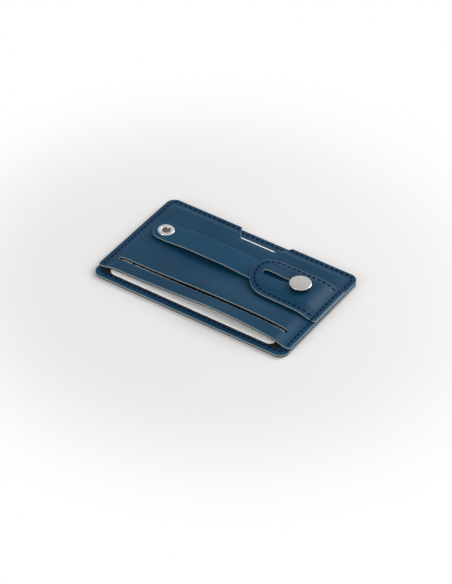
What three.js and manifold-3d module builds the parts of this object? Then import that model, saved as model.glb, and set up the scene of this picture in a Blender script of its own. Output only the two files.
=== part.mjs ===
// Stick-on card holder: a two-layer stitched card pocket with a finger strap that slides on a stud.
// Millimetres. X runs along the strap, from its eyelet to its tab. Y runs from the open mouth of the
// pocket to the thumb notch. Z is up from the sticky face, which lies at z = 0.
import * as THREE from 'three';
import { mergeVertices } from 'three/addons/utils/BufferGeometryUtils.js';
import Module from 'manifold-3d';

const wasm = await Module();
wasm.setup();

// The card that the pocket is made for
const cardLength = 85.6;
const cardWidth = 54;
const cardThickness = 0.76;
const cardCorner = 3.18;
const cardShift = -1;
const cardPeek = 2;
const cardProud = 1;

// Panels: a flat sewn band all round, a ramp up from it, and the card inside the ramp
const panelThickness = 1.2;
const holderCorner = 4.5;
const seamBand = 3.4;
const sideRamp = 2.75;
const topRamp = 2.15;
const frontStrip = 4;
const mouthScoop = 0.8;
const mouthCorner = 1.6;

// Sticky pad under the back panel
const padThickness = 0.3;
const padInset = 4.5;
const padCorner = 3;

// Thin lining that divides the pocket
const liningThickness = 0.25;
const liningInset = 0.3;
const liningSideWidth = 4.6;
const liningWave = 0.25;
const liningWaves = 5;

// Thumb notch in the edge opposite the mouth
const notchCentre = 0.9;
const notchWidth = 17.6;
const notchLeftFlare = 4.2;
const notchRightFlare = 5.2;

// Long slit in the front panel
const slitSpare = 1.1;
const slitWidth = 2.2;
const slitFromMouth = 8;

// How the front panel stands up over the cards
const pocketRise = 1;
const panelDome = 0.1;
const mouthLift = 1.75;
const liftCentre = 16;
const liftDepth = 17;

// Finger strap
const strapThickness = 1;
const strapWidth = 12.2;
const strapOffset = 7.3;
const strapBow = 0.9;
const strapFlatByEyelet = 4.8;
const strapFlatByTab = 3.6;

// Eyelet that fixes the strap to the front panel
const eyeletFromEnd = 13.2;
const eyeletRadius = 3.85;
const eyeletBore = 2.05;
const eyeletWall = 0.3;
const eyeletFlange = 0.5;
const washerRadius = 3.6;
const washerThickness = 0.2;

// Sliding stud
const studFromEnd = 16.1;
const studTravel = 17.7;
const studCapRadius = 4.95;
const studCapThickness = 1.75;
const studRim = 0.75;
const studPostRadius = 1.3;
const studBaseRadius = 4;
const studBaseThickness = 0.4;

// Stitched tab that the stud slides in
const tabDrop = 1.1;
const tabWidth = 24.8;
const tabNose = 6.6;
const tabUpperRadius = 9.5;
const tabNoseFlat = 0.8;
const tabEndCorner = 1.2;
const tabEdgeLift = 0.6;
const tabShoulder = 0.4;
const tabEaseLength = 6;

// Sewing thread
const stitchPitch = 2.6;
const stitchInset = 2;
const tabStitchInset = 2.2;
const threadHalfWidth = 0.33;
const threadHeight = 0.32;
const threadHoleHalfWidth = 0.15;
const threadHoleHeight = 0.12;

// Clearances
const layGap = 0.05;
const slideGap = 0.15;
const fitGap = 0.2;
const threadGap = 0.1;
const stepGap = 0.45;

// Mesh fineness
const arcSteps = 5;
const turnSteps = 32;
const panelStep = 6;
const tabStep = 2.6;
const farOut = 10;

const halfLength = cardLength / 2 + Math.abs(cardShift) + layGap + sideRamp + seamBand;
const cardToTopEdge = layGap + topRamp + seamBand;
const halfWidth = (frontStrip + cardWidth + cardToTopEdge) / 2;
const notchDepth = cardToTopEdge + cardPeek;
const backBottom = padThickness;
const backTop = backBottom + panelThickness;
const cardTopFace = backTop + cardThickness;
const rimBottom = backTop + liningThickness + layGap;
const rimTop = rimBottom + panelThickness;
const mouthY = -halfWidth + frontStrip + cardProud;
const notchY = halfWidth - notchDepth;
const slitY = mouthY + slitFromMouth;
const cardHighY = notchY + cardPeek;
const cardCentreY = cardHighY - cardWidth / 2;
const liftLeftReach = halfLength + liftCentre;
const liftRightReach = halfLength - seamBand - liftCentre;
const eyeletX = eyeletFromEnd - halfLength;
const studX = halfLength - studFromEnd;
const tabLeft = studX - studTravel - tabNose;
const tabCentre = strapOffset - tabDrop;
const tabLowerRadius = tabWidth - tabUpperRadius - tabNoseFlat;
const strapBowFrom = eyeletX + strapFlatByEyelet;
const strapBowTo = tabLeft - strapFlatByTab;
const panelCrest = rimTop + pocketRise + panelDome;
const studBaseBottom = panelCrest + layGap;
const strapLow = studBaseBottom + studBaseThickness + layGap;
const strapHigh = strapLow + strapThickness;
const tabCrown = strapHigh + slideGap - (rimTop + pocketRise);
const tabCrest = panelCrest + tabCrown + strapThickness;
const studCapBottom = tabCrest + threadGap + threadHeight + layGap;
const slotHalfWidth = studPostRadius + fitGap;
const tabSeamTop = rimTop + strapThickness;

const clamp01 = (value) => Math.min(Math.max(value, 0), 1);

// 0 to 1 with a soft start and end
function ease(value) {
  const t = clamp01(value);
  return t * t * (3 - 2 * t);
}

// 1 in the middle and 0 beyond a reach of 1
const bell = (value) => Math.cos((Math.PI / 2) * Math.min(Math.abs(value), 1)) ** 2;

// How far the pocket is filled: 0 on the sewn edges, 1 over the card
function pocketFill(x, y) {
  const side = ease((halfLength - seamBand - Math.abs(x)) / sideRamp);
  const top = ease((halfWidth - seamBand - y) / topRamp);
  return side * top;
}

// The free lower part of the front panel gapes open, most of all right of its middle
function mouthGape(x, y) {
  const along = x < liftCentre
    ? bell((liftCentre - x) / liftLeftReach)
    : 1 - clamp01((x - liftCentre) / liftRightReach) ** 3;
  return mouthLift * along * ease(-y / liftDepth);
}

function frontTop(x, y) {
  const dome = panelDome * bell(x / halfLength) * bell(y / halfWidth);
  return rimTop + pocketFill(x, y) * (pocketRise + dome + mouthGape(x, y));
}

const liningTop = (x, y) => backTop + liningThickness + pocketFill(x, y) * cardThickness;

// The strap lies flat at both ends and bows up a little between them
function strapTop(x) {
  const middle = (strapBowFrom + strapBowTo) / 2;
  const reach = (strapBowTo - strapBowFrom) / 2;
  return strapHigh + strapBow * bell((x - middle) / reach);
}

// The tab lies on the sewn edge at its right end and rides over the strap at its left
function tabTop(x, y) {
  const across = Math.abs(y - strapOffset) - strapWidth / 2 - tabShoulder;
  const reach = (tabWidth - strapWidth) / 2 - tabShoulder;
  const crown = tabEdgeLift + (tabCrown - tabEdgeLift) * (1 - ease(across / reach));
  const along = ease((halfLength - seamBand - x) / tabEaseLength);
  return frontTop(x, y) + strapThickness + along * crown;
}

function toSolid(geometry) {
  geometry.deleteAttribute('normal');
  geometry.deleteAttribute('uv');
  const merged = mergeVertices(geometry);
  return new wasm.Manifold(new wasm.Mesh({
    numProp: 3,
    vertProperties: new Float32Array(merged.attributes.position.array),
    triVerts: new Uint32Array(merged.index.array),
  }));
}

function toGeometry(solid) {
  const mesh = solid.getMesh();
  const geometry = new THREE.BufferGeometry();
  geometry.setAttribute('position', new THREE.BufferAttribute(mesh.vertProperties, 3));
  geometry.setIndex(new THREE.BufferAttribute(mesh.triVerts, 1));
  geometry.computeVertexNormals();
  return geometry;
}

// A flat outline made solid between two heights
function prism(shape, low, high) {
  const geometry = new THREE.ExtrudeGeometry(shape, {
    depth: high - low,
    bevelEnabled: false,
    curveSegments: arcSteps,
  });
  geometry.translate(0, 0, low);
  return geometry;
}

const cutter = (shape) => toSolid(prism(shape, -farOut, 2 * farOut));

// A rectangle of sheet, one thickness deep under the surface top(x, y)
function bentSlab(xs, ys, top, thickness) {
  const positions = [];
  for (const depth of [0, thickness]) {
    for (const y of ys) {
      for (const x of xs) {
        positions.push(x, y, top(x, y) - depth);
      }
    }
  }
  const count = xs.length * ys.length;
  const at = (i, j, layer) => layer * count + j * xs.length + i;
  const faces = [];
  const quad = (a, b, c, d) => faces.push(a, b, c, a, c, d);
  for (let j = 0; j < ys.length - 1; j += 1) {
    for (let i = 0; i < xs.length - 1; i += 1) {
      quad(at(i, j, 0), at(i + 1, j, 0), at(i + 1, j + 1, 0), at(i, j + 1, 0));
      quad(at(i, j + 1, 1), at(i + 1, j + 1, 1), at(i + 1, j, 1), at(i, j, 1));
    }
  }
  const lastX = xs.length - 1;
  const lastY = ys.length - 1;
  for (let i = 0; i < lastX; i += 1) {
    quad(at(i, 0, 1), at(i + 1, 0, 1), at(i + 1, 0, 0), at(i, 0, 0));
    quad(at(i + 1, lastY, 1), at(i, lastY, 1), at(i, lastY, 0), at(i + 1, lastY, 0));
  }
  for (let j = 0; j < lastY; j += 1) {
    quad(at(0, j + 1, 1), at(0, j, 1), at(0, j, 0), at(0, j + 1, 0));
    quad(at(lastX, j, 1), at(lastX, j + 1, 1), at(lastX, j + 1, 0), at(lastX, j, 0));
  }
  const geometry = new THREE.BufferGeometry();
  geometry.setAttribute('position', new THREE.Float32BufferAttribute(positions, 3));
  geometry.setIndex(faces);
  return toSolid(geometry);
}

// Grid lines through the given stops, each stretch split into equal steps of about the given size
function gridLines(stops, step) {
  const lines = [stops[0]];
  for (let i = 1; i < stops.length; i += 1) {
    const span = stops[i] - stops[i - 1];
    const parts = Math.max(1, Math.ceil(span / step));
    for (let k = 1; k <= parts; k += 1) {
      lines.push(stops[i - 1] + (span * k) / parts);
    }
  }
  return lines;
}

// The height of a bent slab's faceted top at any point of its grid
function facetHeight(xs, ys, top) {
  const cellOf = (lines, value) => {
    const next = lines.findIndex((line) => line > value);
    return next < 0 ? lines.length - 2 : Math.max(next - 1, 0);
  };
  return (x, y) => {
    const i = cellOf(xs, x);
    const j = cellOf(ys, y);
    const u = (x - xs[i]) / (xs[i + 1] - xs[i]);
    const v = (y - ys[j]) / (ys[j + 1] - ys[j]);
    const near = top(xs[i], ys[j]);
    const far = top(xs[i + 1], ys[j + 1]);
    const corner = u > v ? top(xs[i + 1], ys[j]) : top(xs[i], ys[j + 1]);
    return u > v
      ? near + u * (corner - near) + v * (far - corner)
      : near + v * (corner - near) + u * (far - corner);
  };
}

function roundedRect(low, high, radius) {
  const shape = new THREE.Shape();
  shape.moveTo(low.x + radius, low.y);
  shape.lineTo(high.x - radius, low.y);
  shape.absarc(high.x - radius, low.y + radius, radius, -Math.PI / 2, 0, false);
  shape.lineTo(high.x, high.y - radius);
  shape.absarc(high.x - radius, high.y - radius, radius, 0, Math.PI / 2, false);
  shape.lineTo(low.x + radius, high.y);
  shape.absarc(low.x + radius, high.y - radius, radius, Math.PI / 2, Math.PI, false);
  shape.lineTo(low.x, low.y + radius);
  shape.absarc(low.x + radius, low.y + radius, radius, Math.PI, 1.5 * Math.PI, false);
  return shape;
}

function holderOutline(inset) {
  const low = new THREE.Vector2(inset - halfLength, inset - halfWidth);
  const high = new THREE.Vector2(halfLength - inset, halfWidth - inset);
  return roundedRect(low, high, holderCorner - inset);
}

// A slot with round ends along X
function slotOutline(fromX, toX, centreY, radius) {
  const shape = new THREE.Shape();
  shape.absarc(toX, centreY, radius, -Math.PI / 2, Math.PI / 2, false);
  shape.absarc(fromX, centreY, radius, Math.PI / 2, 1.5 * Math.PI, false);
  return shape;
}

function roundOutline(x, y, radius) {
  const shape = new THREE.Shape();
  shape.absarc(x, y, radius, 0, 2 * Math.PI, false);
  return shape;
}

// Everything in front of the mouth, whose cut is a shallow scoop with small round corners
function mouthCutOutline() {
  const shape = new THREE.Shape();
  shape.moveTo(-halfLength - farOut, -halfWidth - farOut);
  shape.lineTo(halfLength + farOut, -halfWidth - farOut);
  shape.lineTo(halfLength + farOut, mouthY + mouthCorner);
  shape.lineTo(halfLength, mouthY + mouthCorner);
  shape.quadraticCurveTo(halfLength, mouthY, halfLength - mouthCorner, mouthY);
  shape.quadraticCurveTo(0, mouthY + 2 * mouthScoop, mouthCorner - halfLength, mouthY);
  shape.quadraticCurveTo(-halfLength, mouthY, -halfLength, mouthY + mouthCorner);
  shape.lineTo(-halfLength - farOut, mouthY + mouthCorner);
  return shape;
}

const notchLeftAt = (y) => notchCentre - notchWidth / 2 - (notchLeftFlare * (y - notchY)) / notchDepth;
const notchRightAt = (y) => notchCentre + notchWidth / 2 + (notchRightFlare * (y - notchY)) / notchDepth;

function notchOutline() {
  const beyond = halfWidth + farOut;
  const shape = new THREE.Shape();
  shape.moveTo(notchLeftAt(notchY), notchY);
  shape.lineTo(notchRightAt(notchY), notchY);
  shape.lineTo(notchRightAt(halfWidth), halfWidth);
  shape.lineTo(notchRightAt(halfWidth), beyond);
  shape.lineTo(notchLeftAt(halfWidth), beyond);
  shape.lineTo(notchLeftAt(halfWidth), halfWidth);
  return shape;
}

// The lining is cut away in front of a free, slightly wavy edge, apart from its two sewn sides
function liningWindowOutline() {
  const side = halfLength - liningSideWidth;
  const points = [];
  for (let i = 0; i <= 4 * liningWaves; i += 1) {
    const t = i / (4 * liningWaves);
    const wave = liningWave * Math.sin(2 * Math.PI * liningWaves * t);
    points.push(new THREE.Vector2(side - 2 * side * t, slitY + slitWidth / 2 + wave));
  }
  const shape = new THREE.Shape();
  shape.moveTo(-side, -halfWidth - farOut);
  shape.lineTo(side, -halfWidth - farOut);
  shape.lineTo(points[0].x, points[0].y);
  shape.splineThru(points.slice(1));
  return shape;
}

// D-shaped tab, its upper left corner tighter than its lower left one
function tabOutline(inset) {
  const low = tabCentre - tabWidth / 2 + inset;
  const high = tabCentre + tabWidth / 2 - inset;
  const left = tabLeft + inset;
  const right = halfLength - layGap;
  const upper = tabUpperRadius - inset;
  const lower = tabLowerRadius - inset;
  const path = new THREE.Shape();
  path.moveTo(right, high);
  path.lineTo(left + upper, high);
  path.absarc(left + upper, high - upper, upper, Math.PI / 2, Math.PI, false);
  path.absarc(left + lower, low + lower, lower, Math.PI, 1.5 * Math.PI, false);
  path.lineTo(right - tabEndCorner, low);
  path.quadraticCurveTo(right, low, right, low + tabEndCorner);
  return path;
}

// The same outline as an open line for the stitches, without its right end
function tabSeamPath() {
  const inset = tabStitchInset;
  const low = tabCentre - tabWidth / 2 + inset;
  const high = tabCentre + tabWidth / 2 - inset;
  const left = tabLeft + inset;
  const right = halfLength - stitchInset - 2 * threadHalfWidth - stepGap;
  const upper = tabUpperRadius - inset;
  const lower = tabLowerRadius - inset;
  const path = new THREE.Path();
  path.moveTo(right, high);
  path.lineTo(left + upper, high);
  path.absarc(left + upper, high - upper, upper, Math.PI / 2, Math.PI, false);
  path.absarc(left + lower, low + lower, lower, Math.PI, 1.5 * Math.PI, false);
  path.lineTo(right, low);
  return path;
}

// The height of whatever the perimeter seam is sewn through, with room at each step
function seamFloor(x, y) {
  const tabLow = tabCentre - tabWidth / 2 - stepGap;
  const tabHigh = tabCentre + tabWidth / 2 + stepGap;
  if (x > halfLength - seamBand && y > tabLow && y < tabHigh) {
    return tabSeamTop;
  }
  const inNotch = y > notchY && x > notchLeftAt(y) + stepGap && x < notchRightAt(y) - stepGap;
  return inNotch || y < mouthY - stepGap ? backTop : rimTop;
}

// One thread along a path: it swells over each stitch and thins where it goes down a hole.
// On a level, stepped floor the path closes on itself; on a bent sheet it is open and follows the sheet.
function stitchRow(path, floor, follows) {
  const closed = !follows;
  const length = path.getLength();
  const stitches = Math.round(length / stitchPitch);
  const samples = [];
  const addSample = (t, onFloor, swell) => samples.push({ t, onFloor, swell });
  const floorAt = (t) => {
    const point = path.getPoint(t);
    return floor(point.x, point.y);
  };
  const addStep = (from, to) => {
    let before = from;
    let after = to;
    const start = floorAt(from);
    for (let i = 0; i < 24; i += 1) {
      const middle = (before + after) / 2;
      if (floorAt(middle) === start) {
        before = middle;
      } else {
        after = middle;
      }
    }
    const width = layGap / length;
    addSample(before - width, start, 0);
    addSample(after + width, floorAt(after), 0);
  };
  const stations = [];
  for (let i = 0; i < stitches; i += 1) {
    stations.push([i / stitches, 0], [(i + 0.25) / stitches, 1], [(i + 0.75) / stitches, 1]);
  }
  stations.push([1, 0]);
  stations.forEach(([t, swell], i) => {
    if (i > 0 && Math.abs(floorAt(t) - floorAt(stations[i - 1][0])) > threadHeight) {
      addStep(stations[i - 1][0], t);
    }
    addSample(t, floorAt(t), swell);
  });
  if (closed) {
    samples.pop();
  }
  const positions = [];
  for (const { t, onFloor, swell } of samples) {
    const point = path.getPoint(t);
    const tangent = path.getTangent(t);
    const half = threadHoleHalfWidth + swell * (threadHalfWidth - threadHoleHalfWidth);
    const rise = threadHoleHeight + swell * (threadHeight - threadHoleHeight);
    for (const [side, up] of [[-1, 0], [1, 0], [1, rise], [-1, rise]]) {
      const x = point.x - side * half * tangent.y;
      const y = point.y + side * half * tangent.x;
      positions.push(x, y, (follows ? floor(x, y) : onFloor) + up);
    }
  }
  const faces = [];
  const rings = samples.length;
  const quad = (a, b, c, d) => faces.push(a, b, c, a, c, d);
  for (let i = 0; i < (closed ? rings : rings - 1); i += 1) {
    const here = 4 * i;
    const next = 4 * ((i + 1) % rings);
    for (let k = 0; k < 4; k += 1) {
      const k2 = (k + 1) % 4;
      quad(here + k, here + k2, next + k2, next + k);
    }
  }
  if (!closed) {
    const last = 4 * (rings - 1);
    quad(3, 2, 1, 0);
    quad(last, last + 1, last + 2, last + 3);
  }
  const geometry = new THREE.BufferGeometry();
  geometry.setAttribute('position', new THREE.Float32BufferAttribute(positions, 3));
  geometry.setIndex(faces);
  geometry.computeVertexNormals();
  return geometry;
}

// Turned piece on a vertical axis
function turned(profile, x, y) {
  const points = profile.map(([radius, z]) => new THREE.Vector2(radius, z));
  const geometry = new THREE.LatheGeometry(points, turnSteps);
  geometry.rotateX(Math.PI / 2);
  geometry.translate(x, y, 0);
  return geometry;
}

const leather = (color, roughness) => new THREE.MeshStandardMaterial({ color, roughness, metalness: 0 });
const metal = (color, roughness) => new THREE.MeshStandardMaterial({ color, roughness, metalness: 1 });

const navy = leather(0x2c4a64, 0.55);
const navyStrap = leather(0x2f4f69, 0.52);
const navyThread = leather(0x14284f, 0.75);
const blackLining = leather(0x17181b, 0.9);
const greyFoam = leather(0x8c9094, 0.8);
const whitePlastic = leather(0xf2f2f0, 0.35);
const satinNickel = metal(0xc9c6c2, 0.3);
const brightNickel = metal(0xdedbd6, 0.18);

const cardHolder = new THREE.Group();

function addPiece(name, geometry, material) {
  const mesh = new THREE.Mesh(geometry, material);
  mesh.name = name;
  cardHolder.add(mesh);
}

function makePad() {
  const low = new THREE.Vector2(padInset - halfLength, padInset - halfWidth);
  const high = new THREE.Vector2(halfLength - padInset, halfWidth - padInset);
  return prism(roundedRect(low, high, padCorner), 0, padThickness);
}

function makeCard() {
  const low = new THREE.Vector2(cardShift - cardLength / 2, cardCentreY - cardWidth / 2);
  const high = new THREE.Vector2(cardShift + cardLength / 2, cardCentreY + cardWidth / 2);
  return prism(roundedRect(low, high, cardCorner), backTop, cardTopFace);
}

// The lining and the front panel share their grid lines, so neither cuts into the other
const sideStops = [
  -halfLength - 1,
  seamBand - halfLength,
  seamBand + sideRamp / 2 - halfLength,
  seamBand + sideRamp - halfLength,
];
const panelXs = gridLines([...sideStops, liftCentre, ...sideStops.map((x) => -x).reverse()], panelStep);
const panelYs = gridLines([
  mouthY - 1,
  mouthY,
  0,
  halfWidth - seamBand - topRamp,
  halfWidth - seamBand - topRamp / 2,
  halfWidth - seamBand,
  halfWidth + 1,
], panelStep);

function makeLining() {
  const slab = bentSlab(panelXs, panelYs, liningTop, liningThickness);
  const solid = slab
    .intersect(cutter(holderOutline(liningInset)))
    .subtract(cutter(mouthCutOutline()))
    .subtract(cutter(liningWindowOutline()))
    .subtract(cutter(notchOutline()));
  return toGeometry(solid);
}

function makeFrontPanel() {
  const slitRadius = slitWidth / 2;
  const slitReach = cardLength / 2 + slitSpare - slitRadius;
  const boreRadius = eyeletBore + eyeletWall + fitGap;
  const slab = bentSlab(panelXs, panelYs, frontTop, panelThickness);
  const solid = slab
    .intersect(cutter(holderOutline(0)))
    .subtract(cutter(mouthCutOutline()))
    .subtract(cutter(notchOutline()))
    .subtract(cutter(slotOutline(-slitReach, slitReach, slitY, slitRadius)))
    .subtract(cutter(roundOutline(eyeletX, strapOffset, boreRadius)));
  return toGeometry(solid);
}

function makeStrap() {
  const radius = strapWidth / 2;
  const left = eyeletX - radius - 1;
  const right = studX + radius + 1;
  const xs = gridLines([left, strapBowFrom, strapBowTo, right], tabStep);
  const ys = [strapOffset - radius - 1, strapOffset + radius + 1];
  const solid = bentSlab(xs, ys, strapTop, strapThickness)
    .intersect(cutter(slotOutline(eyeletX, studX, strapOffset, radius)))
    .subtract(cutter(roundOutline(eyeletX, strapOffset, eyeletBore + eyeletWall + fitGap)))
    .subtract(cutter(roundOutline(studX, strapOffset, studPostRadius + fitGap)));
  return toGeometry(solid);
}

const tabEaseEnd = halfLength - seamBand;
const tabFlat = strapWidth / 2 + tabShoulder;
const tabXs = gridLines([
  tabLeft - 1,
  liftCentre,
  tabEaseEnd - tabEaseLength,
  tabEaseEnd,
  halfLength + 1,
], tabStep);
const tabYs = gridLines([
  tabCentre - tabWidth / 2 - 1,
  strapOffset - tabFlat,
  strapOffset + tabFlat,
  tabCentre + tabWidth / 2 + 1,
], tabStep);

function makeTab() {
  const solid = bentSlab(tabXs, tabYs, tabTop, strapThickness)
    .intersect(cutter(tabOutline(0)))
    .subtract(cutter(slotOutline(studX - studTravel, studX, strapOffset, slotHalfWidth)));
  return toGeometry(solid);
}

// Flange, barrel and bore in one turned shell, its end inside the washer
function makeEyelet() {
  const barrel = eyeletBore + eyeletWall;
  const flangeLow = strapHigh + layGap;
  const flangeHigh = flangeLow + eyeletFlange;
  const low = cardTopFace + liningThickness + layGap;
  return turned([
    [eyeletBore, low],
    [barrel, low],
    [barrel, flangeLow],
    [eyeletRadius, flangeLow],
    [eyeletRadius - eyeletFlange / 4, flangeLow + eyeletFlange * 0.6],
    [eyeletRadius - eyeletFlange, flangeHigh],
    [barrel + eyeletFlange / 2, flangeHigh],
    [eyeletBore, flangeHigh - eyeletFlange / 2],
    [eyeletBore, low],
  ], eyeletX, strapOffset);
}

function makeWasher() {
  const inner = eyeletBore + eyeletWall + layGap;
  const low = cardTopFace + liningThickness + layGap;
  const high = low + washerThickness;
  return turned([
    [inner, low],
    [washerRadius, low],
    [washerRadius, high],
    [inner, high],
    [inner, low],
  ], eyeletX, strapOffset);
}

// The stud is riveted through the strap: a base disc with half of the post, and the cap with the rest
const studJoinZ = (strapLow + strapHigh) / 2;

function makeStudBase() {
  return turned([
    [0, studBaseBottom],
    [studBaseRadius, studBaseBottom],
    [studBaseRadius, studBaseBottom + studBaseThickness],
    [studPostRadius, studBaseBottom + studBaseThickness],
    [studPostRadius, studJoinZ],
    [0, studJoinZ],
  ], studX, strapOffset);
}

function makeStudCap() {
  const top = studCapBottom + studCapThickness;
  const profile = [
    [0, studJoinZ],
    [studPostRadius, studJoinZ],
    [studPostRadius, studCapBottom],
    [studCapRadius - studRim, studCapBottom],
  ];
  for (const [centreZ, from] of [[studCapBottom + studRim, -90], [top - studRim, 0]]) {
    for (let step = 1; step <= 3; step += 1) {
      const angle = THREE.MathUtils.degToRad(from + 30 * step);
      const radius = studCapRadius - studRim + studRim * Math.cos(angle);
      profile.push([radius, centreZ + studRim * Math.sin(angle)]);
    }
  }
  profile.push([0, top]);
  return turned(profile, studX, strapOffset);
}

const tabFacets = facetHeight(tabXs, tabYs, tabTop);
const tabSeamFloor = (x, y) => tabFacets(x, y) + threadGap;

addPiece('adhesive_pad', makePad(), greyFoam);
addPiece('back_panel', prism(holderOutline(0), backBottom, backTop), navy);
addPiece('card', makeCard(), whitePlastic);
addPiece('divider_lining', makeLining(), blackLining);
addPiece('front_panel', makeFrontPanel(), navy);
addPiece('eyelet_washer', makeWasher(), satinNickel);
addPiece('strap', makeStrap(), navyStrap);
addPiece('eyelet', makeEyelet(), brightNickel);
addPiece('stud_base', makeStudBase(), satinNickel);
addPiece('slot_tab', makeTab(), navy);
addPiece('stud_cap', makeStudCap(), satinNickel);
addPiece('perimeter_thread', stitchRow(holderOutline(stitchInset), seamFloor, false), navyThread);
addPiece('tab_thread', stitchRow(tabSeamPath(), tabSeamFloor, true), navyThread);

export default cardHolder;
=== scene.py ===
"""Looks for a stick-on card holder in stitched navy imitation leather, with a sliding stud.

The frame is in metres. X runs along the strap, from its eyelet to its tab, Y from the open mouth of
the pocket to the thumb notch, and Z up from the sticky face. Pieces are modelled in millimetres and
brought to metres when they are finished.
"""
import math

import bmesh
import bpy
from mathutils import Matrix, Vector


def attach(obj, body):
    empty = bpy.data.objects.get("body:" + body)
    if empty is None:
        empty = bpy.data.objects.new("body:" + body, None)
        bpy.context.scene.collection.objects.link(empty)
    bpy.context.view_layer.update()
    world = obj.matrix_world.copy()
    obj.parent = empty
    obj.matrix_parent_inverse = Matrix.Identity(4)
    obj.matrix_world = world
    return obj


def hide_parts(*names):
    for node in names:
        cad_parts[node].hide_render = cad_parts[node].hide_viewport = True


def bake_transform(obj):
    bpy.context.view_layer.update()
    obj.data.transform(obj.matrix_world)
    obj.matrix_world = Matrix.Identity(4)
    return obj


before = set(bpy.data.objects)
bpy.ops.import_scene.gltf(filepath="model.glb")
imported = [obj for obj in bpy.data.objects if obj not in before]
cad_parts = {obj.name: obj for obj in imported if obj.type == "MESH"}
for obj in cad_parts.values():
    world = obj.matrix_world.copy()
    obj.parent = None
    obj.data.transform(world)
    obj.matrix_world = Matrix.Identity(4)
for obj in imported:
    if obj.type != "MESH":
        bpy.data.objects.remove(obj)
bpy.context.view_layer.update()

MM = 0.001

# The camera, found from the holder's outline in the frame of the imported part
CAMERA_PLACE = (0.494816, -0.798993, 0.775279)
CAMERA_RIGHT = (0.83654403, 0.54707278, 0.03009075)
CAMERA_UP = (-0.36980488, 0.5232496, 0.76775922)
CAMERA_BACK = (0.40427519, -0.6533921, 0.64003151)
CAMERA_LENS = 170.18
CAMERA_SENSOR = 36

# Sizes in millimetres. A pair named RAMP or PLACE is a start or centre, then a length.
HALF_LENGTH = 50
HALF_WIDTH = 31.8
CORNER = 4.5
SEAM_BAND = 3.4
SIDE_START = 1.6
SIDE_SLOPES = (6, 7.4)
TOP_RAMP = 2.15
PAD_THICKNESS = 0.3
PAD_INSET = 4.5
PAD_CORNER = 3
BACK_LOW = 0.3
BACK_TOP = 1.5
RIM_LOW = 1.8
RIM_TOP = 3.0
CARD_SIZE = (85.6, 54)
CARD_CENTRE = (-1, -0.8)
CARD_THICKNESS = 0.76
CARD_CORNER = 3.18
MOUTH_Y = -26.8
MOUTH_SCOOP = 0.8
MOUTH_CORNER = 1.6
NOTCH_Y = 24.2
NOTCH_DEPTH = 7.6
NOTCH_CENTRE = 0.9
NOTCH_WIDTH = 17.6
NOTCH_FLARES = (4.2, 5.2)
NOTCH_DIP = 0.3
NOTCH_DIP_DEPTH = 3
NOTCH_DIP_RAMP = (13, 4)
NOTCH_CORNER = 0.7
SLIT_Y = -18.8
SLIT_WIDTH = 2.2
SLIT_REACH = 42.8
LINING_THICKNESS = 0.25
LINING_SIDE = 4.6
LINING_EDGE = -17.7
LINING_INSET = 0.3
LINING_EASE = 6
LINING_LEAST_SHOWN = 0.05
LINING_SHOWN = ((0.5, -34, -4), (0.45, -5, -22), (0.35, 33, 5))
LINING_FOLD = (2.2, -37.6, 0.9)
# Margins round the card and corner radius of the black sheet under it, which stands for painted
# shade
SHADE_SHEET_MARGINS = (2.8, 0.75)
SHADE_SHEET_CORNER = 6.5
POCKET_RISE = 1.0
PANEL_DOME = 0.1
MOUTH_LIFT = 1.75
LIFT_CENTRE = 16
LIFT_DEPTH = 17
LEFT_GAPE = 0.25
LEFT_GAPE_RAMP = (-46, 7)
MOUTH_LIP = 0.5
MOUTH_LIP_PLACE = (13, 22)
MOUTH_LIP_START_Y = -20
MOUTH_EASE = 6
STRAP_WIDTH = 12.2
STRAP_THICKNESS = 1.0
STRAP_Y = 7.3
STRAP_HIGH = 5.6
STRAP_BOW = 0.85
STRAP_BOW_LEFT_RAMP = (-34, 13)
STRAP_BOW_RIGHT_RAMP = (10, -14)
STRAP_DIP = 0.33
STRAP_DIP_PLACE = (19, 9)
EYELET_X = -36.8
EYELET_RADIUS = 3.85
EYELET_BORE = 2.05
EYELET_WALL = 0.3
EYELET_LOW = 2.56
EYELET_HIGH = 6.15
EYELET_FLANGE = 0.5
EYELET_ROLL = 0.46
RIVET_FLOOR = (2, 1.5)
HOLE_SLACK = 0.5
STUD_X = 33.9
STUD_TRAVEL = 17.7
STUD_RADIUS = 4.95
STUD_LOW = 7.32
STUD_HIGH = 9.07
STUD_RIM = 0.32
STUD_UNDERCUT = 0.04
STUD_POST = 1.3
STUD_JOIN = 5.1
STUD_HOLE_SLACK = 0.2
TAB_LEFT = 9.6
TAB_RIGHT = 49.95
TAB_LOW = -6.2
TAB_HIGH = 18.6
TAB_UPPER_RADIUS = 9.5
TAB_LOWER_RADIUS = 14.5
TAB_END_CORNER = 1.2
TAB_CROWN = 1.75
TAB_EDGE_LIFT = 0.6
TAB_SHOULDER = 0.4
TAB_EASE = 11
TAB_SEWN_END = 0.5
SLOT_HALF_WIDTH = 1.5
SLOT_LIP = 0.42
SLOT_LIP_PLACE = (19, 10)
SLOT_LIP_EASE = 4.5
STITCH_PITCH = 2.6
STITCH_LENGTH = 2.2
STITCH_WIDTH = 0.8
STITCH_HEIGHT = 0.5
STITCH_SINK = 0.3
STITCH_RAISE = 0.06
STITCH_LEAN = 0.1
TAB_STITCH_INSET = 2.2
TAB_STITCH_END = 3.1
STITCH_INSETS = {"left": 2.2, "front": 2.5, "right": 2, "back": 1.8}
STITCH_CORNER = 2.6
RIM_ROUNDING = 0.22
FOAM_DEPTH = 0.58
CARD_ROUNDING = 0.08
PAD_ROUNDING = 0.06

# Where the cuts that let a sheet bend begin and end, and the lengths between them
EDGE_MARGIN = 0.6
TAB_MARGIN = 0.8
STRAP_CUTS = (-42, 39)
STRAP_CUT_REACH = 5.4
EASED_STEP = 0.7
PLAIN_STEP = 1.3
SHEET_STEP = 1.2
TAB_STEP = 0.9
TOP_STEP = 0.45

# Cutters reach from below the lowest sheet to above the highest
CUT_LOW = -5
CUT_HIGH = 10

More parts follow.
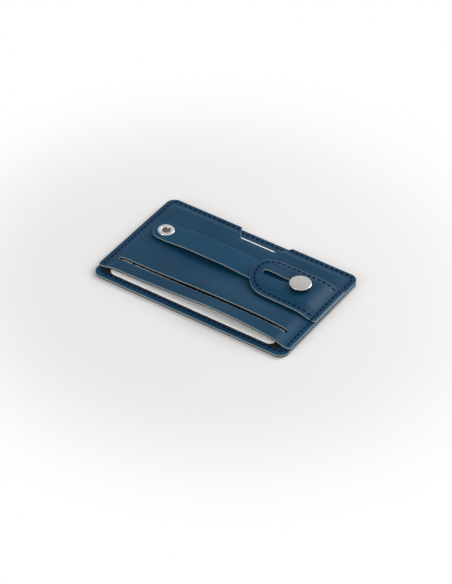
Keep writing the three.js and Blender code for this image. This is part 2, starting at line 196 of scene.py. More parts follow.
# How far back the camera sees past an edge, for each millimetre of depth below it
SIGHT_SLOPE = 1.02

# Upward parts of face normals that tell a sheet's faces apart
FLAT = 0.99
FACE = 0.98
RIM = 0.2
BACK = -0.45


def clamp01(value):
    return min(max(value, 0), 1)


def ease(value):
    t = clamp01(value)
    return t * t * (3 - 2 * t)


def bell(value):
    return math.cos(math.pi / 2 * min(abs(value), 1)) ** 2


def pocket_fill(x, y):
    side = ease((HALF_LENGTH - SIDE_START - abs(x)) / SIDE_SLOPES[x > 0])
    top = ease((HALF_WIDTH - SEAM_BAND - y) / TOP_RAMP)
    return side * top


def mouth_gape(x, y):
    if x < LIFT_CENTRE:
        start, length = LEFT_GAPE_RAMP
        along = max(
            bell((LIFT_CENTRE - x) / (HALF_LENGTH + LIFT_CENTRE)),
            LEFT_GAPE * ease((x - start) / length))
    else:
        along = 1 - clamp01((x - LIFT_CENTRE) / (HALF_LENGTH - SEAM_BAND - LIFT_CENTRE)) ** 3
    centre, reach = MOUTH_LIP_PLACE
    lip = MOUTH_LIP * bell((x - centre) / reach) * ease((MOUTH_LIP_START_Y - y) / MOUTH_EASE)
    return MOUTH_LIFT * along * ease(-y / LIFT_DEPTH) + lip


def front_top(x, y):
    dome = PANEL_DOME * bell(x / HALF_LENGTH) * bell(y / HALF_WIDTH)
    reach, length = NOTCH_DIP_RAMP
    beside = ease((reach - abs(x - NOTCH_CENTRE)) / length)
    dome -= NOTCH_DIP * ease((y - NOTCH_Y + NOTCH_DIP_DEPTH) / NOTCH_DIP_DEPTH) * beside
    return RIM_TOP + pocket_fill(x, y) * (POCKET_RISE + dome + mouth_gape(x, y))


def strap_top(x):
    bow = STRAP_BOW
    for start, length in (STRAP_BOW_LEFT_RAMP, STRAP_BOW_RIGHT_RAMP):
        bow *= ease((x - start) / length)
    centre, reach = STRAP_DIP_PLACE
    return STRAP_HIGH + bow - STRAP_DIP * bell((x - centre) / reach)


# The tab lies on the sewn edge at its right end and rides over the strap at its left
def tab_top(x, y):
    across = abs(y - STRAP_Y) - STRAP_WIDTH / 2 - TAB_SHOULDER
    reach = (TAB_HIGH - TAB_LOW - STRAP_WIDTH) / 2 - TAB_SHOULDER
    crown = TAB_EDGE_LIFT + (TAB_CROWN - TAB_EDGE_LIFT) * (1 - ease(across / reach))
    along = ease((HALF_LENGTH - TAB_SEWN_END - x) / TAB_EASE)
    return front_top(x, y) + STRAP_THICKNESS + along * crown


# Modelling steps, as by hand

def work_on(piece):
    if bpy.context.mode != "OBJECT":
        bpy.ops.object.mode_set(mode="OBJECT")
    bpy.ops.object.select_all(action="DESELECT")
    piece.select_set(True)
    bpy.context.view_layer.objects.active = piece


def select_edges(piece, wanted):
    """Enters edit mode with only the edges selected for which wanted(edge) is true."""
    work_on(piece)
    bpy.ops.object.mode_set(mode="EDIT")
    bpy.ops.mesh.select_mode(type="EDGE")
    bpy.ops.mesh.select_all(action="DESELECT")
    mesh = bmesh.from_edit_mesh(piece.data)
    for edge in mesh.edges:
        edge.select = wanted(edge)
    mesh.select_flush_mode()
    bmesh.update_edit_mesh(piece.data)


def block(name, low, high):
    bpy.ops.object.select_all(action="DESELECT")
    middle = [(a + b) / 2 for a, b in zip(low, high)]
    size = [b - a for a, b in zip(low, high)]
    bpy.ops.mesh.primitive_cube_add(size=1, location=middle, scale=size)
    piece = bpy.context.object
    piece.name = name
    bpy.ops.object.transform_apply(location=True, rotation=True, scale=True)
    return piece


def disc(name, centre, radius, low, high, sides=64):
    bpy.ops.object.select_all(action="DESELECT")
    place = (centre[0], centre[1], (low + high) / 2)
    bpy.ops.mesh.primitive_cylinder_add(
        vertices=sides, radius=radius, depth=high - low, location=place)
    piece = bpy.context.object
    piece.name = name
    bpy.ops.object.transform_apply(location=True, rotation=True, scale=True)
    return piece


def round_ended(name, from_x, to_x, y, radius, low, high, sides=48):
    """A bar along X with round ends: a disc whose right half is drawn out."""
    piece = disc(name, (from_x, y), radius, low, high, sides)
    bpy.ops.object.mode_set(mode="EDIT")
    bpy.ops.mesh.select_mode(type="VERT")
    bpy.ops.mesh.select_all(action="DESELECT")
    mesh = bmesh.from_edit_mesh(piece.data)
    for vertex in mesh.verts:
        vertex.select = vertex.co.x > from_x + radius * 0.01
    mesh.select_flush_mode()
    bmesh.update_edit_mesh(piece.data)
    bpy.ops.transform.translate(value=(to_x - from_x, 0, 0))
    bpy.ops.object.mode_set(mode="OBJECT")
    return piece


def round_corner(piece, corner, radius, segments=10):
    def upright_there(edge):
        a, b = (vertex.co for vertex in edge.verts)
        upright = abs(a.x - b.x) + abs(a.y - b.y) < 0.001 and abs(a.z - b.z) > 0.1
        return upright and abs(a.x - corner[0]) < 0.01 and abs(a.y - corner[1]) < 0.01

    select_edges(piece, upright_there)
    bpy.ops.mesh.bevel(offset=radius, segments=segments, affect="EDGES", clamp_overlap=False)
    bpy.ops.object.mode_set(mode="OBJECT")


def cut_out(piece, *cutters):
    for cutter in cutters:
        work_on(piece)
        modifier = piece.modifiers.new("cut", "BOOLEAN")
        modifier.operation = "DIFFERENCE"
        modifier.solver = "EXACT"
        modifier.object = cutter
        bpy.ops.object.modifier_apply(modifier=modifier.name)
        bpy.data.objects.remove(cutter)


def round_rims(piece, width, segments=3, top=True, bottom=True):
    def on_rim(edge):
        if len(edge.link_faces) != 2:
            return False
        a, b = (face.normal.z for face in edge.link_faces)
        beside_wall = min(abs(a), abs(b)) < RIM
        up = top and max(a, b) > FLAT
        down = bottom and min(a, b) < -FLAT
        return beside_wall and (up or down)

    select_edges(piece, on_rim)
    bpy.ops.mesh.bevel(offset=width, segments=segments, affect="EDGES", clamp_overlap=False)
    bpy.ops.object.mode_set(mode="OBJECT")


def slice_up(piece, xs, ys):
    """Bisects the whole piece at each x and y, so that it has points to bend at."""
    work_on(piece)
    bpy.ops.object.mode_set(mode="EDIT")
    for axis, places in (((1, 0, 0), xs), ((0, 1, 0), ys)):
        for place in places:
            bpy.ops.mesh.select_all(action="SELECT")
            bpy.ops.mesh.bisect(plane_co=[place * a for a in axis], plane_no=axis)
    bpy.ops.object.mode_set(mode="OBJECT")


def bend(piece, moved):
    for vertex in piece.data.vertices:
        vertex.co = moved(*vertex.co)


def steps(stops, size):
    places = [stops[0]]
    for a, b in zip(stops, stops[1:]):
        count = max(1, math.ceil((b - a) / size))
        places += [a + (b - a) * k / count for k in range(1, count + 1)]
    return places


def give_layers(piece, face, top):
    """The coated face and its rim above with a painted sheen, foam over backing darkened with
    painted shade on the walls, cloth below.
    """
    foam_low = top - FOAM_DEPTH
    work_on(piece)
    bpy.ops.object.mode_set(mode="EDIT")
    bpy.ops.mesh.select_all(action="SELECT")
    bpy.ops.mesh.bisect(plane_co=(0, 0, foam_low), plane_no=(0, 0, 1))
    bpy.ops.object.mode_set(mode="OBJECT")
    for material in (face, foam_edge, backing_edge_and_shade, cloth_back, rim_painted_sheen):
        piece.data.materials.append(material)
    # Rounded rims get the lighter navy as a painted sheen; the lower walls get the backing,
    # darkened as painted shade
    for polygon in piece.data.polygons:
        tilt = polygon.normal.z
        wall = 1 if polygon.center.z > foam_low else 2
        above = 0 if tilt > FACE else 4
        polygon.material_index = above if tilt > RIM else (3 if tilt < BACK else wall)


def finish_piece(piece, angle=40):
    """Brings a finished piece from millimetres to metres, with its place in its mesh."""
    work_on(piece)
    piece.scale = (MM, MM, MM)
    bpy.ops.object.transform_apply(location=True, rotation=True, scale=True)
    bpy.ops.object.shade_smooth_by_angle(angle=math.radians(angle))
    return piece


def joined(name, pieces):
    work_on(pieces[0])
    for piece in pieces:
        piece.select_set(True)
    bpy.ops.object.join()
    pieces[0].name = name
    return pieces[0]


# Materials

def linear(hex_colour):
    """A linear colour from its sRGB hex value."""
    channels = [int(hex_colour[i:i + 2], 16) / 255 for i in (1, 3, 5)]
    return [c / 12.92 if c <= 0.04045 else ((c + 0.055) / 1.055) ** 2.4 for c in channels] + [1]


def add_node(tree, kind, settings, links=()):
    """Adds one node, with its settings and with links given as (input, source socket)."""
    node = tree.nodes.new(kind)
    for key, value in settings.items():
        if isinstance(key, int) or key in node.inputs:
            node.inputs[key].default_value = value
        else:
            setattr(node, key, value)
    for key, source in links:
        tree.links.new(source, node.inputs[key])
    return node


def start_material(name, settings):
    material = bpy.data.materials.new(name)
    material.use_nodes = True
    tree = material.node_tree
    shader = tree.nodes["Principled BSDF"]
    for key, value in settings.items():
        shader.inputs[key].default_value = value
    place = tree.nodes.new("ShaderNodeTexCoord").outputs["Object"]
    return material, tree, shader, place


def colour_mix(tree, factor, low, high, spread=(0.3, 0.7)):
    ramp = add_node(tree, "ShaderNodeValToRGB", {}, [("Fac", factor)])
    for element, position, colour in zip(ramp.color_ramp.elements, spread, (low, high)):
        element.position = position
        element.color = linear(colour)
    return ramp.outputs["Color"]


# Pattern scales as the nodes take them, in features per metre, and bump depths in millimetres
CLOUD_SCALE = 55
GRAIN_SCALE = 1800
CREASE_SCALE = 900
TURNING_SCALE = 900
SATIN_SCALE = 2500
GRAIN_DEPTH = 0.06
POLISH_DEPTH = 0.02
LINING_DEPTH = 0.08
# This wave scale sets the lining's threads 0.4 mm apart
LINING_SCALE = 785.4


def coated_leather(name, low, high, roughness):
    """Polyurethane-coated cloth, rolled with a fine grain: even satin colour with a soft sheen."""
    settings = {"IOR": 1.5, "Roughness": roughness, "Specular IOR Level": 0.21}
    material, tree, shader, place = start_material(name, settings)
    clouds = add_node(
        tree, "ShaderNodeTexNoise", {"Scale": CLOUD_SCALE, "Detail": 3}, [("Vector", place)])
    tree.links.new(colour_mix(tree, clouds.outputs["Fac"], low, high), shader.inputs["Base Color"])
    grain = add_node(
        tree, "ShaderNodeTexVoronoi", {"Scale": GRAIN_SCALE}, [("Vector", place)])
    pores = add_node(
        tree, "ShaderNodeTexNoise", {"Scale": CREASE_SCALE, "Detail": 4}, [("Vector", place)])
    creases = add_node(
        tree, "ShaderNodeMath", {"operation": "MULTIPLY_ADD", 1: 0.5},
        [(0, grain.outputs["Distance"]), (2, pores.outputs["Fac"])])
    bump = add_node(
        tree, "ShaderNodeBump", {"Strength": 0.35, "Distance": GRAIN_DEPTH * MM},
        [("Height", creases.outputs[0])])
    tree.links.new(bump.outputs["Normal"], shader.inputs["Normal"])
    return material


def plain_fibre(name, low, high, roughness, fibre_mm, depth_mm):
    """Cut or brushed fibres: matt, with a short speckle at the size of the fibres."""
    settings = {"Roughness": roughness, "Specular IOR Level": 0.1}
    material, tree, shader, place = start_material(name, settings)
    speckle = add_node(
        tree, "ShaderNodeTexNoise", {"Scale": 1 / (fibre_mm * MM), "Detail": 3},
        [("Vector", place)])
    tree.links.new(colour_mix(tree, speckle.outputs["Fac"], low, high), shader.inputs["Base Color"])
    bump = add_node(
        tree, "ShaderNodeBump", {"Strength": 0.6, "Distance": depth_mm * MM},
        [("Height", speckle.outputs["Fac"])])
    tree.links.new(bump.outputs["Normal"], shader.inputs["Normal"])
    return material


def nickel_plate(name, colour, roughness, centre):
    """Nickel plate over turned brass: faint rings from the turning round its own axis."""
    settings = {"Base Color": linear(colour), "Metallic": 1, "Roughness": roughness}
    material, tree, shader, place = start_material(name, settings)
    centred = add_node(
        tree, "ShaderNodeMapping", {"Location": (-centre[0] * MM, -centre[1] * MM, 0)},
        [("Vector", place)])
    rings = add_node(
        tree, "ShaderNodeTexWave",
        {"wave_type": "RINGS", "rings_direction": "Z", "Scale": TURNING_SCALE,
         "Distortion": 1.5, "Detail": 2},
        [("Vector", centred.outputs["Vector"])])
    bump = add_node(
        tree, "ShaderNodeBump", {"Strength": 0.05, "Distance": POLISH_DEPTH * MM},
        [("Height", rings.outputs["Fac"])])
    tree.links.new(bump.outputs["Normal"], shader.inputs["Normal"])
    return material


def blank_card_plastic(name):
    """Laminated PVC card: white, smooth and evenly satin."""
    settings = {"Base Color": linear("#FBFBF9"), "IOR": 1.5, "Roughness": 0.35}
    material, tree, shader, place = start_material(name, settings)
    satin = add_node(
        tree, "ShaderNodeTexNoise", {"Scale": SATIN_SCALE, "Detail": 2}, [("Vector", place)])
    bump = add_node(
        tree, "ShaderNodeBump", {"Strength": 0.1, "Distance": POLISH_DEPTH * MM},
        [("Height", satin.outputs["Fac"])])
    tree.links.new(bump.outputs["Normal"], shader.inputs["Normal"])
    return material


def woven_lining(name):
    """Black polyester taffeta, woven of fine threads: matt, almost no light comes back."""
    settings = {"Roughness": 0.85, "Base Color": linear("#141416")}
    material, tree, shader, place = start_material(name, settings)
    heights = []
    for direction in ("X", "Y"):
        threads = add_node(
            tree, "ShaderNodeTexWave",
            {"bands_direction": direction, "Scale": LINING_SCALE}, [("Vector", place)])
        heights.append(threads.outputs["Fac"])
    weave = add_node(
        tree, "ShaderNodeMath", {"operation": "MAXIMUM"}, [(0, heights[0]), (1, heights[1])])
    bump = add_node(
        tree, "ShaderNodeBump", {"Strength": 0.5, "Distance": LINING_DEPTH * MM},
        [("Height", weave.outputs[0])])
    tree.links.new(bump.outputs["Normal"], shader.inputs["Normal"])
    return material


panel_leather = coated_leather("coated_leather_navy", "#02354F", "#063D59", 0.46)
strap_leather = coated_leather("coated_leather_strap", "#043A56", "#08425F", 0.46)
# Lighter navy for the rounded rims: a painted sheen where the rims catch the light
rim_painted_sheen = coated_leather("coated_leather_rim_painted_sheen", "#33566C", "#456779", 0.5)
foam_edge = plain_fibre("cut_foam_layer", "#8E999E", "#A9B1B4", 0.8, 0.25, 0.05)
# Dark lower layer of the cut edges: a real backing layer, made darker still as painted shade on the
# walls
backing_edge_and_shade = plain_fibre("cut_backing_and_painted_shade", "#1A1613", "#28221E", 0.9, 0.25, 0.05)
cloth_back = plain_fibre("knitted_backing", "#2A2C31", "#3A3D42", 0.9, 0.3, 0.08)
sewing_thread = plain_fibre("twisted_polyester_thread", "#03102F", "#071A40", 0.8, 0.2, 0.03)
pad_foam = plain_fibre("acrylic_foam_tape", "#85898D", "#94989C", 0.8, 0.4, 0.05)
card_plastic = blank_card_plastic("pvc_card")
lining_cloth = woven_lining("polyester_lining")
stud_nickel = nickel_plate("satin_nickel_plate", "#E6E2DD", 0.24, (STUD_X, STRAP_Y))
# Darker nickel for the cap's side wall: the same plating as the top, with a painted dark reflection
skirt_painted_reflection = nickel_plate("nickel_skirt_painted_reflection", "#6A645E", 0.32, (STUD_X, STRAP_Y))
# Darker, rougher nickel for the rivet floor: painted shade in the eyelet's hollow
floor_nickel_painted_shade = nickel_plate("rivet_floor_nickel_painted_shade", "#8A8482", 0.6, (EYELET_X, STRAP_Y))
eyelet_nickel = nickel_plate("bright_nickel_plate", "#F4F2EF", 0.2, (EYELET_X, STRAP_Y))


# Sheets

def holder_sheet(name, bottom, top, front_y, front_corner):
    sheet = block(name, (-HALF_LENGTH, front_y, bottom), (HALF_LENGTH, HALF_WIDTH, top))
    for side in (-HALF_LENGTH, HALF_LENGTH):
        round_corner(sheet, (side, HALF_WIDTH), CORNER)
        round_corner(sheet, (side, front_y), front_corner)
    return sheet


RAMP_END = HALF_LENGTH - SIDE_START - SIDE_SLOPES[1]
PANEL_XS = (
    steps([EDGE_MARGIN - HALF_LENGTH, -RAMP_END], EASED_STEP)
    + steps([-RAMP_END, RAMP_END], PLAIN_STEP)[1:-1]
    + steps([RAMP_END, HALF_LENGTH - EDGE_MARGIN], EASED_STEP))
SEAM_Y = HALF_WIDTH - SEAM_BAND
PANEL_YS = (
    steps([MOUTH_Y + EDGE_MARGIN, SEAM_Y - TOP_RAMP], SHEET_STEP)
    + steps([SEAM_Y - TOP_RAMP, SEAM_Y], TOP_STEP)[1:]
    + steps([SEAM_Y, HALF_WIDTH - EDGE_MARGIN], EASED_STEP)[1:])


def make_back_panel():
    sheet = holder_sheet("back_sheet", BACK_LOW, BACK_TOP, -HALF_WIDTH, CORNER)
    round_rims(sheet, RIM_ROUNDING)
    give_layers(sheet, panel_leather, BACK_TOP)
    return finish_piece(sheet)


def notch_cutter():
    depths = 2.5
    far_y = NOTCH_Y + depths * NOTCH_DEPTH
    sides = (NOTCH_CENTRE - NOTCH_WIDTH / 2, NOTCH_CENTRE + NOTCH_WIDTH / 2)
    cutter = block("notch_cutter", (sides[0], NOTCH_Y, CUT_LOW), (sides[1], far_y, CUT_HIGH))
    for vertex in cutter.data.vertices:
        if vertex.co.y > NOTCH_Y + NOTCH_DEPTH:
            left = vertex.co.x < NOTCH_CENTRE
            vertex.co.x += -NOTCH_FLARES[0] * depths if left else NOTCH_FLARES[1] * depths
    for side in sides:
        round_corner(cutter, (side, NOTCH_Y), NOTCH_CORNER, 4)
    return cutter


def hole_cutter(x, radius, sides=32):
    return disc("hole_cutter", (x, STRAP_Y), radius, CUT_LOW, CUT_HIGH, sides)


def scooped(x, y):
    scoop = MOUTH_SCOOP * (1 - (x / HALF_LENGTH) ** 2)
    return y + scoop * ease((MOUTH_Y + MOUTH_EASE - y) / MOUTH_EASE)


def make_front_panel():
    sheet = holder_sheet("front_sheet", RIM_LOW, RIM_TOP, MOUTH_Y, MOUTH_CORNER)
    cut_out(
        sheet,
        notch_cutter(),
        round_ended(
            "slit_cutter", -SLIT_REACH, SLIT_REACH, SLIT_Y, SLIT_WIDTH / 2, CUT_LOW, CUT_HIGH, 24),
        hole_cutter(EYELET_X, EYELET_BORE + HOLE_SLACK))
    round_rims(sheet, RIM_ROUNDING)
    slice_up(sheet, PANEL_XS, PANEL_YS)
    give_layers(sheet, panel_leather, RIM_TOP)
    bend(sheet, lambda x, y, z: (x, scooped(x, y), z + front_top(x, y) - RIM_TOP))
    return finish_piece(sheet)


def lining_edge(x):
    """Where the lining's free edge lies: the card shows in front of it, but for one small fold."""
    slit_front = SLIT_Y - SLIT_WIDTH / 2
    depth = front_top(x, slit_front) - BACK_TOP - CARD_THICKNESS
    shown = LINING_LEAST_SHOWN
    for amount, start, length in LINING_SHOWN:
        shown += amount * ease((x - start) / length)
    fold, centre, reach = LINING_FOLD
    return slit_front + SIGHT_SLOPE * depth + shown - fold * bell((x - centre) / reach)


def make_lining():
    top = BACK_TOP + LINING_THICKNESS
    side = HALF_LENGTH - LINING_SIDE
    half_length, back_y = HALF_LENGTH - LINING_INSET, HALF_WIDTH - LINING_INSET
    sheet = block(
        "lining_sheet", (-half_length, MOUTH_Y + LINING_INSET, BACK_TOP + 0.02),
        (half_length, back_y, top))
    for corner_x in (-half_length, half_length):
        round_corner(sheet, (corner_x, back_y), CORNER - LINING_INSET)
    window = block(
        "window_cutter", (-side, -HALF_WIDTH - 5, CUT_LOW), (side, LINING_EDGE, CUT_HIGH))
    cut_out(sheet, window, notch_cutter())
    slice_up(sheet, PANEL_XS, PANEL_YS)

    def laid(x, y, z):
        free_edge = ease((LINING_EDGE + LINING_EASE - y) / LINING_EASE)
        free_edge *= ease((side + 0.01 - abs(x)) / 0.5)
        moved_y = y + free_edge * (lining_edge(x) - LINING_EDGE)
        return x, moved_y, z + pocket_fill(x, y) * CARD_THICKNESS

    bend(sheet, laid)
    # A black cloth sheet under the card's front edge: painted shade beneath the raised mouth
    half = [size / 2 + margin for size, margin in zip(CARD_SIZE, SHADE_SHEET_MARGINS)]
    low_y = CARD_CENTRE[1] - half[1]
    under = block(
        "painted_shade_sheet", (CARD_CENTRE[0] - half[0], low_y, BACK_TOP - 0.03),
        (CARD_CENTRE[0] + half[0], SLIT_Y, BACK_TOP + 0.03))
    for side in (-1, 1):
        round_corner(under, (CARD_CENTRE[0] + side * half[0], low_y), SHADE_SHEET_CORNER)
    sheet = joined("lining_sheet", [sheet, under])
    sheet.data.materials.append(lining_cloth)
    return finish_piece(sheet)


def make_card():
    half = (CARD_SIZE[0] / 2, CARD_SIZE[1] / 2)
    low = (CARD_CENTRE[0] - half[0], CARD_CENTRE[1] - half[1], BACK_TOP)
    high = (CARD_CENTRE[0] + half[0], CARD_CENTRE[1] + half[1], BACK_TOP + CARD_THICKNESS)
    sheet = block("blank_card", low, high)
    for x in (low[0], high[0]):
        for y in (low[1], high[1]):
            round_corner(sheet, (x, y), CARD_CORNER)
    round_rims(sheet, CARD_ROUNDING, 2)
    sheet.data.materials.append(card_plastic)
    return finish_piece(sheet)


def make_pad():
    low = (PAD_INSET - HALF_LENGTH, PAD_INSET - HALF_WIDTH, 0)
    high = (HALF_LENGTH - PAD_INSET, HALF_WIDTH - PAD_INSET, PAD_THICKNESS)
    sheet = block("sticky_pad", low, high)
    for x in (low[0], high[0]):
        for y in (low[1], high[1]):
            round_corner(sheet, (x, y), PAD_CORNER, 8)
    round_rims(sheet, PAD_ROUNDING, 2)
    sheet.data.materials.append(pad_foam)
    return finish_piece(sheet)


def make_strap():
    half_width = STRAP_WIDTH / 2
    low = STRAP_HIGH - STRAP_THICKNESS
    sheet = round_ended("finger_strap", EYELET_X, STUD_X, STRAP_Y, half_width, low, STRAP_HIGH)
    cut_out(
        sheet,
        hole_cutter(EYELET_X, EYELET_BORE + HOLE_SLACK),
        hole_cutter(STUD_X, STUD_POST + STUD_HOLE_SLACK))
    round_rims(sheet, RIM_ROUNDING)
    slice_up(
        sheet, steps(STRAP_CUTS, SHEET_STEP),
        steps([STRAP_Y - STRAP_CUT_REACH, STRAP_Y + STRAP_CUT_REACH], SHEET_STEP))
    give_layers(sheet, strap_leather, STRAP_HIGH)
    bend(sheet, lambda x, y, z: (x, y, z + strap_top(x) - STRAP_HIGH))
    return finish_piece(sheet)


# The slot's far lip stands up a little, most of all near its left end
def lip_lift(x, y):
    if y < STRAP_Y:
        return 0
    centre, reach = SLOT_LIP_PLACE
    across = 1 - ease((y - STRAP_Y - SLOT_HALF_WIDTH) / SLOT_LIP_EASE)
    return SLOT_LIP * bell((x - centre) / reach) * across


def make_tab():
    flat_top = RIM_TOP + STRAP_THICKNESS
    sheet = block("slotted_tab", (TAB_LEFT, TAB_LOW, RIM_TOP), (TAB_RIGHT, TAB_HIGH, flat_top))
    round_corner(sheet, (TAB_LEFT, TAB_HIGH), TAB_UPPER_RADIUS, 16)
    round_corner(sheet, (TAB_LEFT, TAB_LOW), TAB_LOWER_RADIUS, 16)
    round_corner(sheet, (TAB_RIGHT, TAB_LOW), TAB_END_CORNER, 5)
    slot_left = STUD_X - STUD_TRAVEL
    cut_out(sheet, round_ended(
        "slot_cutter", slot_left, STUD_X, STRAP_Y, SLOT_HALF_WIDTH, CUT_LOW, CUT_HIGH, 32))
    round_rims(sheet, RIM_ROUNDING)
    slice_up(
        sheet, steps([TAB_LEFT + TAB_MARGIN, TAB_RIGHT - EDGE_MARGIN], TAB_STEP),
        steps([TAB_LOW + TAB_MARGIN, TAB_HIGH - TAB_MARGIN], TAB_STEP))
    give_layers(sheet, panel_leather, flat_top)
    bend(sheet, lambda x, y, z: (x, y, z + tab_top(x, y) + lip_lift(x, y) - flat_top))
    return finish_piece(sheet)


# Metal

def make_eyelet():
    centre = (EYELET_X, STRAP_Y)
    ring = disc("eyelet_ring", centre, EYELET_RADIUS, EYELET_HIGH - EYELET_FLANGE, EYELET_HIGH)
    barrel_top = EYELET_HIGH - EYELET_WALL
    barrel = disc("barrel", centre, EYELET_BORE + EYELET_WALL, EYELET_LOW, barrel_top)
    for piece in (ring, barrel):
        cut_out(piece, hole_cutter(EYELET_X, EYELET_BORE, 64))
    round_rims(ring, EYELET_ROLL, 6, bottom=False)
    low, high = (EYELET_HIGH - depth for depth in RIVET_FLOOR)
    floor = disc("rivet_floor", centre, EYELET_BORE + 0.1, low, high, 48)
    round_rims(floor, 0.12, 2)
    ring.data.materials.append(eyelet_nickel)
    barrel.data.materials.append(eyelet_nickel)
    # The rivet floor takes the darker nickel: painted shade deep in the eyelet
    floor.data.materials.append(floor_nickel_painted_shade)
    ring = joined("eyelet_ring", [ring, barrel, floor])
    return finish_piece(ring)


def make_stud_cap():
    cap = disc("stud_button", (STUD_X, STRAP_Y), STUD_RADIUS, STUD_LOW, STUD_HIGH, 96)
    round_rims(cap, STUD_RIM, 7)

    def undercut(x, y, z):
        wall = STUD_HIGH - STUD_LOW - 2 * STUD_RIM
        inward = 1 - STUD_UNDERCUT * ease((STUD_HIGH - STUD_RIM - z) / wall)
        return STUD_X + (x - STUD_X) * inward, STRAP_Y + (y - STRAP_Y) * inward, z

    bend(cap, undercut)
    post = disc("post", (STUD_X, STRAP_Y), STUD_POST, STUD_JOIN, STUD_LOW + 0.3, 48)
    cap = joined("stud_button", [cap, post])
    cap.data.materials.append(stud_nickel)
    cap.data.materials.append(skirt_painted_reflection)
    # The side wall below the rim takes the darker nickel: a painted dark reflection
    for polygon in cap.data.polygons:
        polygon.material_index = 1 if polygon.center.z < STUD_HIGH - STUD_RIM - 0.01 else 0
    return finish_piece(cap)


# Stitches

def arc(centre, radius, start, count):
    """Points along a quarter circle, anticlockwise from the start angle in degrees."""
    angles = [math.radians(start + 90 * k / count) for k in range(count + 1)]
    return [(centre[0] + radius * math.cos(a), centre[1] + radius * math.sin(a)) for a in angles]


def rounded_path(low, high, radius):
    """Points along a rounded rectangle, anticlockwise from the lower left."""
    points = []
    corners = (((high[0], low[1]), (-1, 1), 270), ((high[0], high[1]), (-1, -1), 0),
               ((low[0], high[1]), (1, -1), 90), ((low[0], low[1]), (1, 1), 180))
    for (x, y), (dx, dy), start in corners:
        points += arc((x + dx * radius, y + dy * radius), radius, start, 8)
    return points + points[:1]


def tab_path():
    inset = TAB_STITCH_INSET
    low, high, left = TAB_LOW + inset, TAB_HIGH - inset, TAB_LEFT + inset
    right = HALF_LENGTH - TAB_STITCH_END
    points = [(right, high)]
    for radius, centre_y, start in (
            (TAB_UPPER_RADIUS - inset, high - TAB_UPPER_RADIUS + inset, 90),
            (TAB_LOWER_RADIUS - inset, low + TAB_LOWER_RADIUS - inset, 180)):
        points += arc((left + radius, centre_y), radius, start, 12)
    return points + [(right, low)]


def stations(points, pitch):
    """Evenly spaced places and directions along a line of points."""
    lengths = [math.dist(a, b) for a, b in zip(points, points[1:])]
    total = sum(lengths)
    count = round(total / pitch)
    found = []
    for k in range(count):
        along = (k + 0.5) * total / count
        for (a, b), length in zip(zip(points, points[1:]), lengths):
            if along <= length:
                t = along / length
                place = (a[0] + (b[0] - a[0]) * t, a[1] + (b[1] - a[1]) * t)
                found.append((place, math.atan2(b[1] - a[1], b[0] - a[0])))
                break
            along -= length
    return found


def make_stitch():
    """One stitch along X: a short two-ply thread that dips at both ends."""
    bpy.ops.object.select_all(action="DESELECT")
    bpy.ops.mesh.primitive_cylinder_add(
        vertices=10, radius=0.5, depth=1, rotation=(0, math.pi / 2, 0))
    stitch = bpy.context.object
    bpy.ops.object.transform_apply(location=True, rotation=True, scale=True)
    slice_up(stitch, [-0.4, -0.25, -0.1, 0.1, 0.25, 0.4], [])

    def shaped(x, y, z):
        taper = math.sqrt(max(0.12, 1 - (2 * x) ** 4))
        turn = math.atan2(z, y)
        ply = 1 - 0.12 * math.cos(2 * turn - 9 * x)
        dip = STITCH_SINK * (2 * x) ** 4
        return (
            x * STITCH_LENGTH,
            y * STITCH_WIDTH * taper * ply,
            z * STITCH_HEIGHT * taper * ply - dip)

    bend(stitch, shaped)
    return stitch


def sew(name, places, surface):
    stitch = make_stitch()
    sewn = []
    reach = STITCH_LENGTH / 2
    for (x, y), angle in places:
        dx, dy = math.cos(angle), math.sin(angle)
        ahead = surface(x + dx * reach, y + dy * reach)
        behind = surface(x - dx * reach, y - dy * reach)
        slope = math.atan2(ahead - behind, 2 * reach)
        copy = stitch.copy()
        copy.data = stitch.data.copy()
        turn = Matrix.Rotation(angle + STITCH_LEAN, 4, "Z") @ Matrix.Rotation(-slope, 4, "Y")
        copy.data.transform(Matrix.Translation((x, y, surface(x, y) + STITCH_RAISE)) @ turn)
        bpy.context.collection.objects.link(copy)
        sewn.append(copy)
    bpy.data.objects.remove(stitch)
    seam = joined(name, sewn)
    seam.data.materials.append(sewing_thread)
    return finish_piece(seam, 60)


def seam_surface(x, y):
    if x > HALF_LENGTH - SEAM_BAND and TAB_LOW < y < TAB_HIGH:
        return tab_top(x, y)
    down = y - NOTCH_Y
    left = NOTCH_CENTRE - NOTCH_WIDTH / 2 - NOTCH_FLARES[0] * down / NOTCH_DEPTH
    right = NOTCH_CENTRE + NOTCH_WIDTH / 2 + NOTCH_FLARES[1] * down / NOTCH_DEPTH
    in_notch = down > 0 and left < x < right
    return BACK_TOP if in_notch or y < MOUTH_Y else RIM_TOP


def make_perimeter_stitches():
    low = (STITCH_INSETS["left"] - HALF_LENGTH, STITCH_INSETS["front"] - HALF_WIDTH)
    high = (HALF_LENGTH - STITCH_INSETS["right"], HALF_WIDTH - STITCH_INSETS["back"])
    path = rounded_path(low, high, STITCH_CORNER)
    return sew("perimeter_stitches", stations(path, STITCH_PITCH), seam_surface)


def make_tab_stitches():
    places = stations(tab_path(), STITCH_PITCH)
    return sew("tab_stitches", places, lambda x, y: tab_top(x, y) + lip_lift(x, y))


def show(piece, node, body="root"):
    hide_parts(node)
    if body:
        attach(piece, body)


show(make_back_panel(), "back_panel")
show(make_front_panel(), "front_panel")
show(make_lining(), "divider_lining")
show(make_card(), "card")
show(make_pad(), "adhesive_pad")
show(make_tab(), "slot_tab")
show(make_eyelet(), "eyelet")
show(make_stud_cap(), "stud_cap", "stud")
show(make_perimeter_stitches(), "perimeter_thread")
show(make_tab_stitches(), "tab_thread")
strap = make_strap()
show(strap, "strap", None)
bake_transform(strap)

for node_name in ("eyelet_washer", "stud_base"):
    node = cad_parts[node_name]
    node.data.materials.clear()
    node.data.materials.append(stud_nickel)


# Floor, light and camera

# The floor turns white between these distances from the middle, in metres
SHADOW_REACH = (0.07, 0.16)


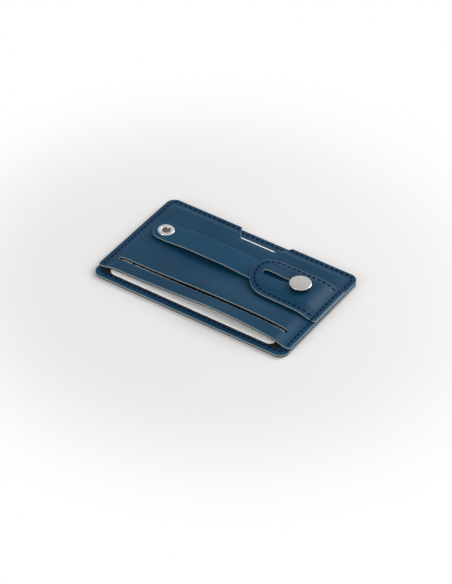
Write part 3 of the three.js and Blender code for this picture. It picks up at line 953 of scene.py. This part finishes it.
def pale_floor():
    bpy.ops.object.select_all(action="DESELECT")
    bpy.ops.mesh.primitive_plane_add(size=6, location=(0, 0, 0))
    floor = bpy.context.object
    floor.name = "floor"
    settings = {"Roughness": 0.7, "Base Color": linear("#EBE9E7"), "Specular IOR Level": 0.2}
    material, tree, shader, place = start_material("pale_floor", settings)
    distance = add_node(tree, "ShaderNodeVectorMath", {"operation": "LENGTH"}, [(0, place)])
    far = add_node(
        tree, "ShaderNodeMapRange",
        {"From Min": SHADOW_REACH[0], "From Max": SHADOW_REACH[1],
         "interpolation_type": "SMOOTHSTEP"},
        [("Value", distance.outputs["Value"])])
    rays = add_node(tree, "ShaderNodeLightPath", {})
    seen = add_node(
        tree, "ShaderNodeMath", {"operation": "MULTIPLY"},
        [(0, far.outputs[0]), (1, rays.outputs["Is Camera Ray"])])
    white = add_node(tree, "ShaderNodeEmission", {"Color": linear("#FFFFFF")})
    blend = add_node(
        tree, "ShaderNodeMixShader", {},
        [(0, seen.outputs[0]), (1, shader.outputs[0]), (2, white.outputs[0])])
    tree.links.new(blend.outputs[0], tree.nodes["Material Output"].inputs["Surface"])
    floor.data.materials.append(material)


def soft_light(name, place, size, power):
    light = bpy.data.lights.new(name, "AREA")
    light.shape = "RECTANGLE"
    light.size, light.size_y = size
    light.energy = power
    lamp = bpy.data.objects.new(name, light)
    lamp.location = place
    lamp.rotation_euler = Vector(place).to_track_quat("Z", "Y").to_euler()
    bpy.context.scene.collection.objects.link(lamp)


def soft_world(level):
    """Light from all round: white low down, dimmer overhead and towards -X."""
    world = bpy.data.worlds.new("studio")
    world.use_nodes = True
    tree = world.node_tree
    background = tree.nodes["Background"]
    background.inputs["Strength"].default_value = level
    direction = tree.nodes.new("ShaderNodeTexCoord").outputs["Generated"]
    height = add_node(tree, "ShaderNodeSeparateXYZ", {}, [("Vector", direction)])
    ramp = add_node(tree, "ShaderNodeValToRGB", {}, [("Fac", height.outputs["Z"])])
    stops = ((0.3, "#FFFFFF"), (0.85, "#B0B0B2"))
    for element, (position, colour) in zip(ramp.color_ramp.elements, stops):
        element.position = position
        element.color = linear(colour)
    side = add_node(
        tree, "ShaderNodeMapRange",
        {"From Min": -0.9, "From Max": -0.1, "To Min": 0.5, "To Max": 1},
        [("Value", height.outputs["X"])])
    dimmed = add_node(
        tree, "ShaderNodeMix", {"data_type": "RGBA", "blend_type": "MULTIPLY", "Factor": 1},
        [(6, ramp.outputs["Color"]), (7, side.outputs[0])])
    tree.links.new(dimmed.outputs[2], background.inputs["Color"])
    bpy.context.scene.world = world


def set_camera():
    data = bpy.data.cameras.new("camera")
    data.lens = CAMERA_LENS
    data.sensor_width = CAMERA_SENSOR
    camera = bpy.data.objects.new("camera", data)
    axes = Matrix((CAMERA_RIGHT, CAMERA_UP, CAMERA_BACK)).transposed().to_4x4()
    camera.matrix_world = Matrix.Translation(CAMERA_PLACE) @ axes
    bpy.context.scene.collection.objects.link(camera)
    bpy.context.scene.camera = camera


pale_floor()
soft_light("right_softbox", (0.42, 0.8, 0.55), (0.5, 0.5), 7.5)
soft_light("front_softbox", (-0.25, -0.9, 0.4), (0.6, 0.4), 2.5)
soft_world(1.1)
set_camera()
bpy.context.scene.view_settings.view_transform = "Standard"
